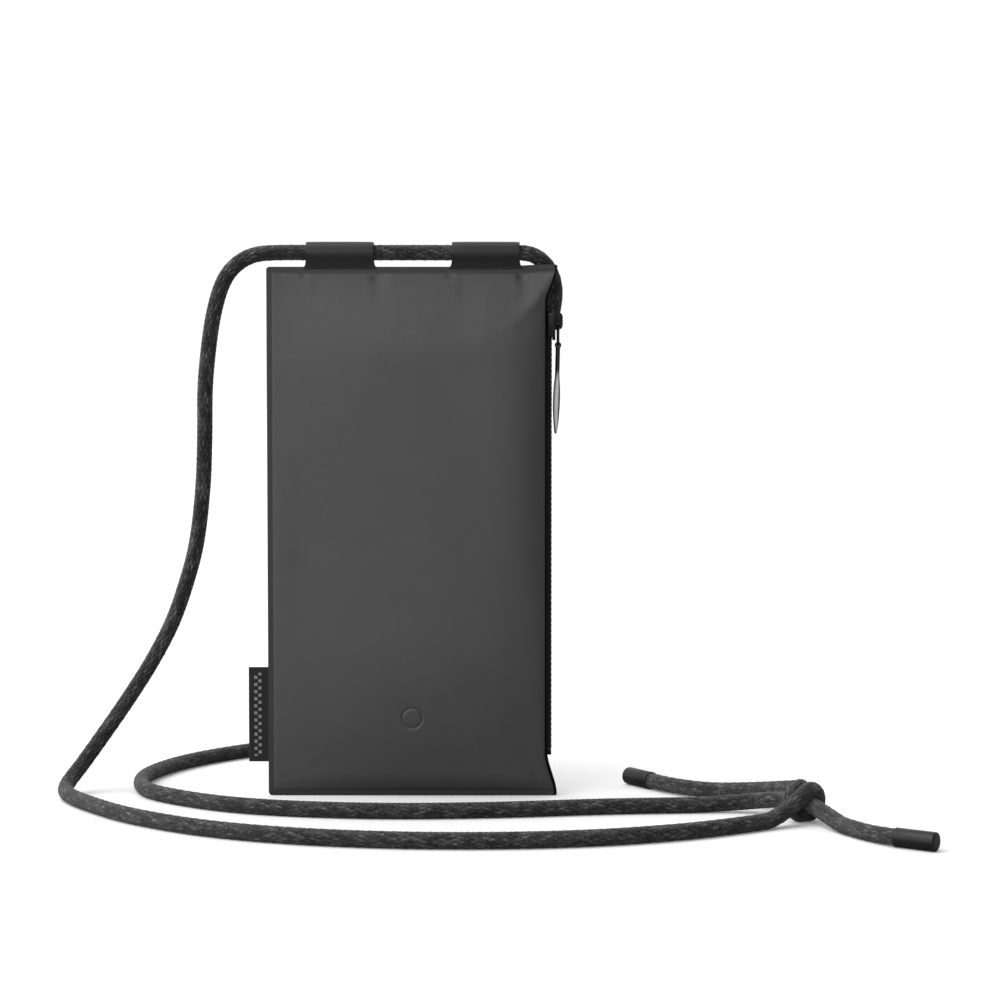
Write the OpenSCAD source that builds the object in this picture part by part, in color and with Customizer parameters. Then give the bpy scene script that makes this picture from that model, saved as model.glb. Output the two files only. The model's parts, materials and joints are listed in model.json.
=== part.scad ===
// Neck pouch wallet: a padded leather phone pouch with a side zip, hung on a braided neck cord.
// The pouch stands on its bottom seam. X runs along its width, with the zip at +X,
// Y runs through its thickness, with the front at -Y, and Z runs up. Millimetres.

/* [Pouch] */
// Width of the pouch from the left seam to the right corners
pouch_w = 105; // [98:1:115]
// Height of the pouch from the bottom seam to the top seam
pouch_h = 191.5; // [185:0.5:195]
// Greatest thickness of the padded pouch
pouch_t = 16; // [14:0.5:18]
// Thickness of the leather
leather_t = 1.2; // [1:0.1:1.4]
// Thickness of the foam behind the leather
foam_t = 0.9; // [0.6:0.1:1.2]
// Thickness of the microfibre lining
lining_t = 0.35; // [0.2:0.05:0.5]
// How far the leather rolls inwards along the zip, between the corners
roll_in = 3.5; // [2:0.1:5]

/* [Zip] */
// Width of one row of zip teeth
teeth_w = 2.35; // [2:0.05:2.35]
// Height that the teeth stand out of the leather's rolled edge
teeth_proud = 1.4; // [1:0.1:1.6]
// Distance from one tooth to the next
tooth_pitch = 2; // [1.6:0.1:3]
// Length that the slider travels down, until the pull's tip is just above the bottom corner
zip_travel = 124; // [100:1:124]
// Length of the slider's body
slider_l = 11; // [10:0.5:12]
// Length of the zip pull below its eye
pull_l = 32; // [25:1:36]
// Width of the zip pull's blade
pull_w = 4.4; // [3.5:0.1:4.4]

/* [Cord] */
// Diameter of the braided cord
cord_d = 5.5; // [5:0.1:5.5]
// Width of each cord loop
loop_w = 24.4; // [18:0.2:26]
// Thickness of the leather strap that makes each cord loop
strap_t = 1; // [0.8:0.1:1.2]
// Diameter of the metal tips on the cord's ends
tip_d = 6.4; // [6.4:0.1:7.5]
// Length of the metal tips
tip_l = 14.5; // [12:0.5:18]

/* [Side tag] */
// Width of the tag that shows outside the seam
tag_w = 7.2; // [5:0.1:9]
// Height of the tag
tag_h = 34.5; // [25:0.5:40]
// Thickness of the folded ribbon
tag_t = 0.9; // [0.6:0.1:1.2]

/* [Hidden] */
$fn = 48;

// The pouch's centre sits to the right of the origin, so that the tag and slider reach equally far
pouch_x = 2.75;
left_x = pouch_x - pouch_w / 2;
right_x = pouch_x + pouch_w / 2;
edge_x = right_x - roll_in;         // the rolled leather edge beside the zip
seam_t = leather_t + lining_t;      // half the thickness of the flat seams
lip_gap = 3.2;                      // half the gap between the two leather lips
fit = 0.1;                          // space between the soft layers

// Lengths over which the panel swells from its seams
ramp_left = 26;
ramp_top = 38;
ramp_bottom = 22;
roll_w = 23;
flare_top = 13;
flare_bottom = 16;

// Shape of one panel, measured from the pouch's middle plane
function smooth(t) = let (c = min(max(t, 0), 1)) c * c * (3 - 2 * c);
function swell_z(z) = smooth(z / ramp_bottom) * smooth((pouch_h - z) / ramp_top);
function open_z(z) = smooth(z / flare_bottom) * smooth((pouch_h - z) / flare_top);
function lip_x(z) = right_x - roll_in * open_z(z);
function lip_y(z) = seam_t + (lip_gap - seam_t) * open_z(z);
function depth(x, z) = seam_t + (pouch_t / 2 - seam_t) * smooth((x - left_x) / ramp_left) * swell_z(z);

// A point on a layer at depth d under the leather's face. u runs from 0 at the left seam to 1 where
// the roll starts, and from 1 to 2 round the roll to the zip.
function layer_point(u, z, d) =
    let (x_roll = lip_x(z) - roll_w)
    u <= 1
    ? let (x = left_x + (x_roll - left_x) * u) [x, depth(x, z) - d, z]
    : let (a = 90 * (u - 1),
           low = lip_y(z) - d * (1 - open_z(z)),
           high = depth(x_roll, z) - d)
      [x_roll + (roll_w - d * open_z(z)) * sin(a), low + (high - low) * cos(a), z];

// Steps that crowd towards the start, for the ramp beside the left seam
function lead_in(a, b, n) = [for (i = [0:n]) a + (b - a) * pow(i / n, 1.5)];
function even(a, b, n) = [for (i = [0:n]) a + (b - a) * i / n];

// A closed sheet between two grids of points with the same rows and columns
module sheet_between(outer, inner) {
    rows = len(outer);
    cols = len(outer[0]);
    n = rows * cols;
    points = concat([for (r = outer) each r], [for (r = inner) each r]);
    function id(r, c, side) = side * n + r * cols + c;
    faces = concat(
        [for (r = [0:rows - 2]) for (c = [0:cols - 2])
            each [[id(r, c, 0), id(r, c + 1, 0), id(r + 1, c + 1, 0)],
                  [id(r, c, 0), id(r + 1, c + 1, 0), id(r + 1, c, 0)],
                  [id(r, c, 1), id(r + 1, c + 1, 1), id(r, c + 1, 1)],
                  [id(r, c, 1), id(r + 1, c, 1), id(r + 1, c + 1, 1)]]],
        [for (c = [0:cols - 2])
            each [[id(0, c, 0), id(0, c, 1), id(0, c + 1, 1), id(0, c + 1, 0)],
                  [id(rows - 1, c, 0), id(rows - 1, c + 1, 0),
                   id(rows - 1, c + 1, 1), id(rows - 1, c, 1)]]],
        [for (r = [0:rows - 2])
            each [[id(r, 0, 0), id(r + 1, 0, 0), id(r + 1, 0, 1), id(r, 0, 1)],
                  [id(r, cols - 1, 0), id(r, cols - 1, 1),
                   id(r + 1, cols - 1, 1), id(r + 1, cols - 1, 0)]]]);
    polyhedron(points, faces, convexity = 6);
}

// A layer of one panel between depths d0 and d1, over the steps us and zs, on the back half (+Y)
module layer(us, zs, d0, d1)
    sheet_between([for (z = zs) [for (u = us) layer_point(u, z, d0)]],
                  [for (z = zs) [for (u = us) layer_point(u, z, d1)]]);

// The same solid on the front half (-Y)
module front() mirror([0, 1, 0]) children();

/* Panels and what is inside them */
panel_us = concat(lead_in(0, 0.5, 8), [0.75], even(1, 2, 8));
panel_zs = concat(even(0, flare_bottom, 6), even(ramp_bottom, 112, 5),
                  even(130, pouch_h - flare_top - 5, 8), even(pouch_h - flare_top, pouch_h, 5));
foam_d = leather_t + fit;
lining_d = foam_d + foam_t + fit;
roll_end = 1.4;                     // how far round the roll the foam and lining go

module leather() layer(panel_us, panel_zs, 0, leather_t);
module front_panel() color("#4b4b4d") front() leather();
module back_panel() color("#464648") leather();

// Every layer takes its steps from the leather's, so that the layers stay clear of each other
function within(steps, low, high) = [for (v = steps) if (v >= low && v <= high) v];
foam_us = within(panel_us, 0.24, roll_end);
foam_zs = within(panel_zs, ramp_bottom, pouch_h - 30);
module foam() layer(foam_us, foam_zs, foam_d, foam_d + foam_t);
module front_padding() color("#8f8f8f") front() foam();
module back_padding() color("#8f8f8f") foam();

// The lining lies on the leather at the seams and on the foam elsewhere
lining_us = within(panel_us, 0, roll_end);
lining_zs = within(panel_zs, 4, pouch_h - 4);
function lining_in(u, z) =
    leather_t + (lining_d - leather_t) * smooth(u / 0.2) * smooth((z - 8) / 12)
    * smooth((pouch_h - 12 - z) / 16);
module lining()
    sheet_between([for (z = lining_zs) [for (u = lining_us) layer_point(u, z, lining_in(u, z))]],
                  [for (z = lining_zs) [for (u = lining_us)
                      layer_point(u, z, lining_in(u, z) + lining_t)]]);
module front_lining() color("#3a3a3c") front() lining();
module back_lining() color("#3a3a3c") lining();

// Card pocket on the inside of the back lining
pocket_d = lining_d + lining_t + fit;
pocket_t = 0.6;
pocket_us = within(panel_us, 0.22, 1);
pocket_zs = within(panel_zs, 22, 112);
module card_pocket() color("#454547") layer(pocket_us, pocket_zs, pocket_d, pocket_d + pocket_t);

/* Zip */
tape_t = 0.5;
tape_in = 0.6;                      // the tape's woven edge, measured from the middle plane
slot = 0.55;                        // half the slot that the slider's post runs in
chain_high = pouch_h - 14.5;
slider_top = chain_high - 0.5;
slider_low = slider_top - slider_l;
open_gap = 24.5;                    // chain left below the slider, beside the hanging pull
chain_low = slider_low - zip_travel - open_gap;
tape_gap = 0.05;                    // glue between the leather and the tape
tape_x = edge_x - leather_t - tape_gap; // outer face of the tape behind the leather's lip
tooth_x = tape_x + 0.05;
tooth_reach = edge_x + teeth_proud - tooth_x;
zip_black = "#161617";

// The tape lines the roll from u = 1.5 to the lip, then runs in to the teeth
tape_us = within(panel_us, 1.5, 2);
tape_zs = within(panel_zs, 7, pouch_h - 5);
module tape() {
    d0 = leather_t + tape_gap;
    sheet_between(
        [for (z = tape_zs) concat([for (u = tape_us) layer_point(u, z, d0)],
                                  [[lip_x(z) - d0, tape_in, z]])],
        [for (z = tape_zs) concat([for (u = tape_us) layer_point(u, z, d0 + tape_t)],
                                  [[lip_x(z) - d0 - tape_t, tape_in, z]])]);
}
module zip_tape_front() color(zip_black) front() tape();
module zip_tape_back() color(zip_black) tape();

tooth_l = 1.3;
module teeth(offset_z)
    for (z = [chain_low + offset_z : tooth_pitch : chain_high - tooth_l])
        translate([tooth_x, slot, z]) cube([tooth_reach, teeth_w, tooth_l]);
module zip_teeth_front() color(zip_black) front() teeth(0);
module zip_teeth_back() color(zip_black) teeth(tooth_pitch / 2);

stop_l = 1.8;
stop_w = 2;
stop_y = slot + 1.1;                // from the middle plane to the centre of each top stop
stop_gap = 0.2;
stop_x = tape_x + fit;
stop_reach = edge_x + teeth_proud - stop_x;
stop_grey = "#3c3c3f";
module zip_top_stops()
    color(stop_grey) for (side = [-1, 1])
        translate([stop_x, side * stop_y - stop_w / 2, chain_high + stop_gap])
            cube([stop_reach, stop_w, stop_l]);
module zip_bottom_stop()
    color(stop_grey) translate([stop_x, -stop_w * 1.1, chain_low - stop_l - stop_gap])
        cube([stop_reach, stop_w * 2.2, stop_l]);

/* Slider, link and pull */
run_gap = 0.3;                      // clearance between the slider and what it slides along
plate_x = edge_x + teeth_proud + run_gap;
plate_t = 1;
shoulder_y = 4.4;                   // half widths of the outer plate, at its top and its tail
tail_y = 3.8;
inner_y = 2.4;                      // half width of the inner plate
inner_plate_t = 0.8;
inner_plate_x = tape_x - tape_t - run_gap - inner_plate_t;
post_t = 0.5;
post_l = 3.4;
bridge_w = 2.4;
bridge_top = slider_top - 0.9;
reach_x = edge_x + 5.4;             // how far the slider's bridge stands out
pin_r = 0.5;
pin_fit = 0.05;                     // running clearance round each pin
lug_r = 1.7;
link_x = reach_x - lug_r;
link_z = slider_top - 5.6;
link_l = 7.2;
link_leg = 1.9;                     // from the middle plane to the centre of each leg
leg_w = 1.2;
leg_t = 0.8;
eye_z = link_z - link_l;
eye_r = 1.2;
eye_w = 2;
gunmetal = "#55565a";

// Outline of the slider's plates, wide at its shoulders and narrow at its tail
module plate_outline(shoulder, tail) {
    r = 1.2;
    for (s = [-1, 1]) {
        translate([s * (shoulder - r), slider_top - r]) circle(r);
        translate([s * (tail - r), slider_low + r]) circle(r);
    }
    polygon([[-shoulder, slider_top - r], [-shoulder + r, slider_top], [shoulder - r, slider_top],
             [shoulder, slider_top - r], [tail, slider_low + r], [tail - r, slider_low],
             [-tail + r, slider_low], [-tail, slider_low + r]]);
}
// Stands a Y-Z outline up, from x0 and t thick along X
module across(x0, t)
    translate([x0, 0, 0]) rotate([90, 0, 90]) linear_extrude(t) children();

module slider_flanges()
    for (s = [-1, 1])
        across(edge_x + run_gap, plate_x - edge_x - run_gap)
            polygon([[s * 3.25, slider_low + 1], [s * 3.25, slider_top - 1],
                     [s * 4.1, slider_top - 2], [s * 3.65, slider_low + 1]]);

// A cylinder along Y, w long about the middle plane
module bar(x, z, r, w)
    translate([x, w / 2, z]) rotate([90, 0, 0]) cylinder(r = r, h = w);

module zip_slider()
    color(gunmetal) difference() {
        union() {
            across(plate_x, plate_t) plate_outline(shoulder_y, tail_y);
            slider_flanges();
            // the post between the plates, and the inner plate
            translate([inner_plate_x + inner_plate_t / 2, -post_t / 2, slider_top - 4])
                cube([plate_x + plate_t / 2 - inner_plate_x - inner_plate_t / 2, post_t, post_l]);
            across(inner_plate_x, inner_plate_t) plate_outline(inner_y, inner_y);
            // the bridge that holds the link's pin
            translate([plate_x + plate_t / 2, -bridge_w / 2, link_z - lug_r])
                cube([link_x - plate_x - plate_t / 2, bridge_w, bridge_top - link_z + lug_r]);
            bar(link_x, link_z, lug_r, bridge_w);
            bar(link_x, bridge_top - lug_r, lug_r, bridge_w);
            translate([link_x, -bridge_w / 2, link_z])
                cube([lug_r, bridge_w, bridge_top - lug_r - link_z]);
        }
        bar(link_x, link_z, pin_r + pin_fit, 2 * bridge_w);
    }

// A stirrup: an upper pin through the slider's bridge, two legs and a lower pin for the pull
module pull_link()
    color(gunmetal) {
        for (z = [link_z, eye_z])
            bar(link_x, z, pin_r, 2 * link_leg);
        for (s = [-1, 1])
            translate([0, s * link_leg, 0]) hull() {
                bar(link_x, link_z, leg_w / 2, leg_t);
                bar(link_x, eye_z, leg_w / 2, leg_t);
            }
    }

// Half width of the blade along its length, t from 0 at the neck to 1 at the tip
function blade_half(t) = max(0.45, pull_w / 2 * pow(sin(180 * pow(t, 0.9)), 0.6));
blade_steps = 16;
blade_top = 9;
blade_t = 1;
edge_t = 0.4;                       // the blade is thinner towards its edges
ridge_share = 0.6;                  // share of the blade's width that is full thickness
neck_r = 0.75;
pull_lean = 1.5;                    // degrees that the pull hangs in towards the teeth
pull_turn = 58;                     // degrees that the blade is turned about its length
module leaf(thick, share)
    translate([0, 0, -thick / 2]) linear_extrude(thick)
        polygon([for (s = [1, -1]) for (i = [0:blade_steps])
            let (t = (s > 0 ? i : blade_steps - i) / blade_steps)
            [s * share * blade_half(t), t * (pull_l - blade_top)]]);
module zip_pull()
    color(gunmetal) translate([link_x, 0, eye_z]) difference() {
        union() {
            bar(0, 0, eye_r, eye_w);
            rotate([0, pull_lean, 0]) mirror([0, 0, 1]) {
                translate([0, 0, eye_r - 0.4]) cylinder(r = neck_r, h = blade_top + 2);
                translate([0, 0, blade_top]) rotate([0, 0, pull_turn]) rotate([90, 0, 0]) {
                    leaf(edge_t, 1);
                    leaf(blade_t, ridge_share);
                }
            }
        }
        bar(0, 0, pin_r + pin_fit, 2 * eye_w);
    }

/* Cord loops and tag */
cord_z = pouch_h + 5.5;             // height of the cord's centre in the loops
left_loop_x = -23.2;
right_loop_x = 29.4;
loop_bore_r = cord_d / 2 + 0.1;
loop_r = loop_bore_r + strap_t;
foot_turn = 25;                     // degrees below level where the strap's sides leave the cord
tongue_t = 0.6;
tongue_l = 4;

// A strap round the cord with its two ends pressed together in the top seam
module cord_loop(x)
    color("#3e3e40") translate([x - loop_w / 2, 0, 0]) rotate([90, 0, 90])
        linear_extrude(loop_w) difference() {
            union() {
                translate([0, cord_z]) circle(loop_r);
                polygon([[-seam_t, pouch_h], [-tongue_t / 2, pouch_h],
                         [-tongue_t / 2, pouch_h - tongue_l], [tongue_t / 2, pouch_h - tongue_l],
                         [tongue_t / 2, pouch_h], [seam_t, pouch_h],
                         [loop_r * cos(foot_turn), cord_z - loop_r * sin(foot_turn)],
                         [-loop_r * cos(foot_turn), cord_z - loop_r * sin(foot_turn)]]);
            }
            translate([0, cord_z]) circle(loop_bore_r);
        }
module left_cord_loop() cord_loop(left_loop_x);
module right_cord_loop() cord_loop(right_loop_x);

tag_z = 12.3;
tag_gap = 0.1;
tag_hinge_x = left_x - tag_t / 2 - tag_gap;
module side_tag()
    color("#1d1d1f") translate([0, 0, tag_z]) {
        translate([tag_hinge_x, 0, 0]) cylinder(d = tag_t, h = tag_h);
        translate([left_x - tag_w + tag_t / 2, 0, 0]) cylinder(d = tag_t, h = tag_h);
        translate([left_x - tag_w + tag_t / 2, -tag_t / 2, 0])
            cube([tag_hinge_x - left_x + tag_w - tag_t / 2, tag_t, tag_h]);
    }

/* Neck cord */
floor_z = cord_d / 2;
tip_z = tip_d / 2;
join_x = right_loop_x;

// One cord, in two lengths that meet inside the right loop. The left length runs through the left
// loop, down to the floor and round the front to the knot, and its tail goes on to the left tip.
left_lead = [
    [join_x, 0, cord_z], [0, 0, cord_z], [-30, 0, cord_z], [-46, 0, cord_z], [-55, 0, 196],
    [-62, 0, 191.5], [-66, 0, 185], [-69, 1, 175], [-71, 2, 163], [-72.5, 3, 148], [-73, 5, 130],
    [-74, 7, 112], [-76.5, 8, 92], [-80.5, 9, 77], [-86, 10, 62], [-94, 11, 47], [-103, 11, 33],
    [-112, 10, 20], [-119, 6, 10], [-123, -3, 4], [-120, -16, floor_z], [-109, -35, floor_z],
    [-91, -58, floor_z], [-64, -80, floor_z], [-33, -94, floor_z], [0, -101, floor_z],
    [33, -102, floor_z], [65, -97.5, floor_z], [92, -88, floor_z], [111, -77.5, floor_z],
    [126, -67, 3]];
left_tail = [
    [132, -37, 8.5], [122, -22, 5.5], [110, -10, 3.5], [99, 0, tip_z], [91.5, 10, tip_z],
    [85, 20, tip_z]];

// The right length leaves the right loop, drops behind the pouch, turns on the floor, crosses in
// front of the pouch and passes through the knot to the right tip
right_route = [
    [join_x, 0, cord_z], [39, 0, cord_z], [46, 1, 196.5], [51.5, 4, 192.5], [54.5, 8, 185],
    [53.5, 13, 174.5], [49, 18, 162], [42.5, 25, 138], [36, 33, 110], [29, 44, 82], [20, 56, 54],
    [10, 69, 29], [-1, 82, 11], [-12, 91, 4], [-26, 97, floor_z], [-43, 98, floor_z], [-61, 91, floor_z],
    [-79, 72, floor_z], [-92, 49, floor_z], [-98.5, 22, floor_z], [-94, -4, floor_z],
    [-79, -22, floor_z], [-58, -36.5, floor_z], [-32, -45, floor_z], [0, -48.5, floor_z],
    [35, -46, floor_z], [70, -40, floor_z], [100, -37, floor_z], [117, -36, 3.5],
    [129, -42, 5.5], [138, -52, 7], [144, -63, 5], [149.5, -76, floor_z], [155.5, -88, floor_z],
    [163, -98.5, tip_z], [171.5, -104.5, tip_z]];

// Outer shape of the sliding knot, where the left length turns round the right one
knot_at = [138, -52, 6.8];
knot_turn = -56;
knot_r = 7;
knot_l = 13;
knot_edge = 2;                      // chamfer at the knot's ends
left_route = concat(left_lead, [knot_at + [0, 0, 4]], left_tail);

ring_every = 3 * cord_d;
cord_sides = 8;

// Smooth curve through the route's points
function curve_at(p0, p1, p2, p3, t) =
    0.5 * (2 * p1 + (p2 - p0) * t + (2 * p0 - 5 * p1 + 4 * p2 - p3) * t * t
           + (3 * p1 - p0 - 3 * p2 + p3) * t * t * t);
function run_of(route) =
    let (n = len(route))
    concat(
        [for (i = [0:n - 2])
            let (p0 = route[max(i - 1, 0)], p3 = route[min(i + 2, n - 1)],
                 steps = max(1, round(norm(route[i + 1] - route[i]) / ring_every)))
            for (j = [0:steps - 1]) curve_at(p0, route[i], route[i + 1], p3, j / steps)],
        [route[n - 1]]);

function unit(v) = v / norm(v);
function heading(run, i) = unit(run[min(i + 1, len(run) - 1)] - run[max(i - 1, 0)]);
// Sideways directions that turn as little as possible from ring to ring
function sideways(run, i, last, made) =
    i == len(run) ? made
    : let (h = heading(run, i), s = unit(last - (last * h) * h))
      sideways(run, i + 1, s, concat(made, [s]));

module tube(run, d) {
    sides = sideways(run, 0, [0, 1, 0], []);
    n = len(run);
    points = [for (i = [0:n - 1])
        let (h = heading(run, i), s = sides[i], up = cross(h, s))
        for (k = [0:cord_sides - 1])
            let (a = 360 * (k + 0.5) / cord_sides)
            run[i] + d / 2 * (cos(a) * s + sin(a) * up)];
    faces = concat(
        [[for (k = [cord_sides - 1:-1:0]) k]],
        [for (i = [0:n - 2]) for (k = [0:cord_sides - 1])
            let (a = i * cord_sides + k, b = i * cord_sides + (k + 1) % cord_sides)
            each [[a, b, b + cord_sides], [a, b + cord_sides, a + cord_sides]]],
        [[for (k = [0:cord_sides - 1]) (n - 1) * cord_sides + k]]);
    polyhedron(points, faces, convexity = 10);
}

cord_grey = "#2c2c2e";
module neck_cord_left() color(cord_grey) tube(run_of(left_route), cord_d);
module neck_cord_right() color(cord_grey) tube(run_of(right_route), cord_d);

module cord_knot()
    color(cord_grey) translate(knot_at) rotate([0, 0, knot_turn]) rotate([0, 90, 0])
        rotate_extrude()
            polygon([[0, -knot_l / 2], [knot_r - knot_edge, -knot_l / 2],
                     [knot_r, -knot_l / 2 + knot_edge], [knot_r, knot_l / 2 - knot_edge],
                     [knot_r - knot_edge, knot_l / 2], [0, knot_l / 2]]);

// A metal cap pressed on the cord's end, from the route's last two points
tip_wall = 0.25;
tip_grip = 10;
tip_edge = 0.6;                     // chamfer at the cap's closed end
tip_bore_r = cord_d / 2 + 0.02;
module cord_tip(route) {
    last = route[len(route) - 1];
    h = unit(last - route[len(route) - 2]);
    turn = atan2(h[1], h[0]);
    color(gunmetal) translate(last) rotate([0, 90, turn]) translate([0, 0, -tip_grip])
        rotate_extrude()
            polygon([[tip_d / 2 - tip_wall, 0], [tip_d / 2, tip_wall],
                     [tip_d / 2, tip_l - tip_edge], [tip_d / 2 - tip_edge, tip_l], [0, tip_l],
                     [0, tip_grip], [tip_bore_r, tip_grip], [tip_bore_r, 0]]);
}
module cord_tip_left() cord_tip(left_route);
module cord_tip_right() cord_tip(right_route);

front_panel();
back_panel();
front_padding();
back_padding();
front_lining();
back_lining();
card_pocket();
zip_tape_front();
zip_tape_back();
zip_teeth_front();
zip_teeth_back();
zip_top_stops();
zip_bottom_stop();
zip_slider();
pull_link();
zip_pull();
left_cord_loop();
right_cord_loop();
side_tag();
neck_cord_left();
neck_cord_right();
cord_knot();
cord_tip_left();
cord_tip_right();
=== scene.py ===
"""Looks of the neck pouch wallet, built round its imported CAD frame. Blender's lengths are metres.

Shapes are worked out in the CAD's millimetres, in the same frame, and scaled when a mesh is made.
"""
import contextlib
import json
import math

import bmesh
import bpy
import numpy as np
from mathutils import Matrix, Vector


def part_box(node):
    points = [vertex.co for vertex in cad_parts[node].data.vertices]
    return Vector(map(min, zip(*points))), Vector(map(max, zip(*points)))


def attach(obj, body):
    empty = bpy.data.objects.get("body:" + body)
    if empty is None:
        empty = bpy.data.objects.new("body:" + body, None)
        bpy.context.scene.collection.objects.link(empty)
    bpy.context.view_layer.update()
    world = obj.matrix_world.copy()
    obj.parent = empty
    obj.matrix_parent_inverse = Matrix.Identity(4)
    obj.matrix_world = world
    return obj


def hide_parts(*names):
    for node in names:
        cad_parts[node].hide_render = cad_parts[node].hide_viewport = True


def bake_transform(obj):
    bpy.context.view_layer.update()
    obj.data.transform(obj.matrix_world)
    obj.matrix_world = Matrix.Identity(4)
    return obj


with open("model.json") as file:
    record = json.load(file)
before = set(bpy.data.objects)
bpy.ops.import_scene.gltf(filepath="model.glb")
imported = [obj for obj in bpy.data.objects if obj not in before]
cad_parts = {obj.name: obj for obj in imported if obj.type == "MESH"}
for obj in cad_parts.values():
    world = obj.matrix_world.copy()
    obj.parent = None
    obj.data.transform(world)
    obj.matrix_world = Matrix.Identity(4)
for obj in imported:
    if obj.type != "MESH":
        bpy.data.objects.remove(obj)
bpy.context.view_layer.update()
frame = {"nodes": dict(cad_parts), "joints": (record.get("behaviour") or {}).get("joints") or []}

MM = 0.001


def box_mm(name):
    """Lowest and highest corner of a CAD node, in millimetres."""
    low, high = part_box(name)
    return np.array(low) / MM, np.array(high) / MM


def linked(name, data):
    """A new object in the scene."""
    made = bpy.data.objects.new(name, data)
    bpy.context.scene.collection.objects.link(made)
    return made


# -------- driving sizes, from the frame
panel_low, panel_high = box_mm("back_panel")
LEFT_X, RIGHT_X = panel_low[0], panel_high[0]
POUCH_H = panel_high[2]
HALF_T = panel_high[1]                      # half the padded pouch's thickness
LEATHER_T = 1.2
FOAM_T = 0.9
LINING_T = 0.35
SEAM_T = LEATHER_T + LINING_T
ROLL_IN = 3.5
EDGE_X = RIGHT_X - ROLL_IN                  # the rolled leather edge beside the zip
LIP_GAP = 3.2
ROLL_W = 23.0
FLARE_TOP = 13.0
FLARE_BOTTOM = 16.0
RAMP_LEFT = 66.0                            # how far in from each seam the panel goes on rising
RAMP_BOTTOM = 56.0
FOOT_SHARE, FOOT_H = 0.42, 6.5              # share and height of the swell at the bottom seam
LIP_W = 2.0                                 # width of the pressed border round the panel
LAYER_GAP = 0.1

CORD_D = 5.5
CORD_Z = POUCH_H + 5.5
FLOOR_Z = CORD_D / 2
TIP_Z = 3.2
LOOPS = ("left_cord_loop", "right_cord_loop")
JOIN_X = float(sum(box_mm("right_cord_loop")[k][0] for k in (0, 1)) / 2)


# -------- camera
CAMERA_AT = (0.0345, -0.9, 0.1562)
CAMERA_DOWN_DEG = 3.086


def make_camera():
    """Level with the upper part of the pouch and 0.9 m in front, looking slightly down."""
    data = bpy.data.cameras.new("camera")
    data.lens = 89.5
    data.sensor_width = 36.0
    data.clip_start = 0.01
    data.clip_end = 20.0
    camera = linked("camera", data)
    camera.location = CAMERA_AT
    camera.rotation_euler = (math.radians(90 - CAMERA_DOWN_DEG), 0, 0)
    bpy.context.scene.camera = camera


make_camera()


# -------- mesh helpers
def new_object(name, points, faces, smooth=True):
    """A mesh object from millimetre points and lists of vertex numbers."""
    mesh = bpy.data.meshes.new(name)
    mesh.from_pydata((np.asarray(points, float) * MM).tolist(), [], [list(f) for f in faces])
    mesh.update()
    mesh.polygons.foreach_set("use_smooth", [smooth] * len(mesh.polygons))
    return linked(name, mesh)


def grid_quads(rows, cols, start=0, wrap=False, flip=False):
    """Quads of a grid of points. wrap joins the last column to the first."""
    r = np.arange(rows - 1)[:, None]
    c = np.arange(cols if wrap else cols - 1)[None, :]
    after = (c + 1) % cols
    quads = np.stack([start + r * cols + c, start + r * cols + after,
                      start + (r + 1) * cols + after, start + (r + 1) * cols + c], -1)
    quads = quads.reshape(-1, 4)
    return (quads[:, ::-1] if flip else quads).tolist()


def thick_sheet(name, outer, inner, bevel=0.0):
    """A closed sheet between two grids of points with the same rows and columns."""
    rows, cols = outer.shape[:2]
    n = rows * cols
    points = np.concatenate([outer.reshape(-1, 3), inner.reshape(-1, 3)])
    faces = grid_quads(rows, cols) + grid_quads(rows, cols, start=n, flip=True)
    ring = (list(range(cols)) + [r * cols + cols - 1 for r in range(1, rows)]
            + [(rows - 1) * cols + c for c in range(cols - 2, -1, -1)]
            + [r * cols for r in range(rows - 2, 0, -1)])
    faces += [[ring[(k + 1) % len(ring)], ring[k], ring[k] + n, ring[(k + 1) % len(ring)] + n]
              for k in range(len(ring))]
    made = new_object(name, points, faces)
    if bevel:
        add_bevel(made, bevel)
    return made


def add_bevel(piece, width_mm, segments=3, angle=50):
    """Rounds the sharp edges of a piece, and applies the result to its mesh."""
    modifier = piece.modifiers.new("rounded", "BEVEL")
    modifier.width = width_mm * MM
    modifier.segments = segments
    modifier.limit_method = "ANGLE"
    modifier.angle_limit = math.radians(angle)
    modifier.harden_normals = False
    apply_modifiers(piece)


def apply_modifiers(piece):
    """Makes the modified mesh the piece's own mesh."""
    bpy.context.view_layer.update()
    evaluated = piece.evaluated_get(bpy.context.evaluated_depsgraph_get())
    mesh = bpy.data.meshes.new_from_object(evaluated)
    piece.modifiers.clear()
    piece.data = mesh


@contextlib.contextmanager
def edited(mesh):
    """A mesh opened for editing, and written back afterwards."""
    work = bmesh.new()
    work.from_mesh(mesh)
    yield work
    work.to_mesh(mesh)
    work.free()


def fix_normals(piece):
    """Turns every face outwards."""
    with edited(piece.data) as work:
        bmesh.ops.recalc_face_normals(work, faces=work.faces)


def assign(piece, node, body):
    """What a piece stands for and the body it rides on."""
    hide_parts(node)
    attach(piece, body)
    return piece


def smooth_step(t):
    t = np.clip(t, 0, 1)
    return t * t * (3 - 2 * t)


def bump(distance, width):
    return np.exp(-(distance / width) ** 2)


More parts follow.
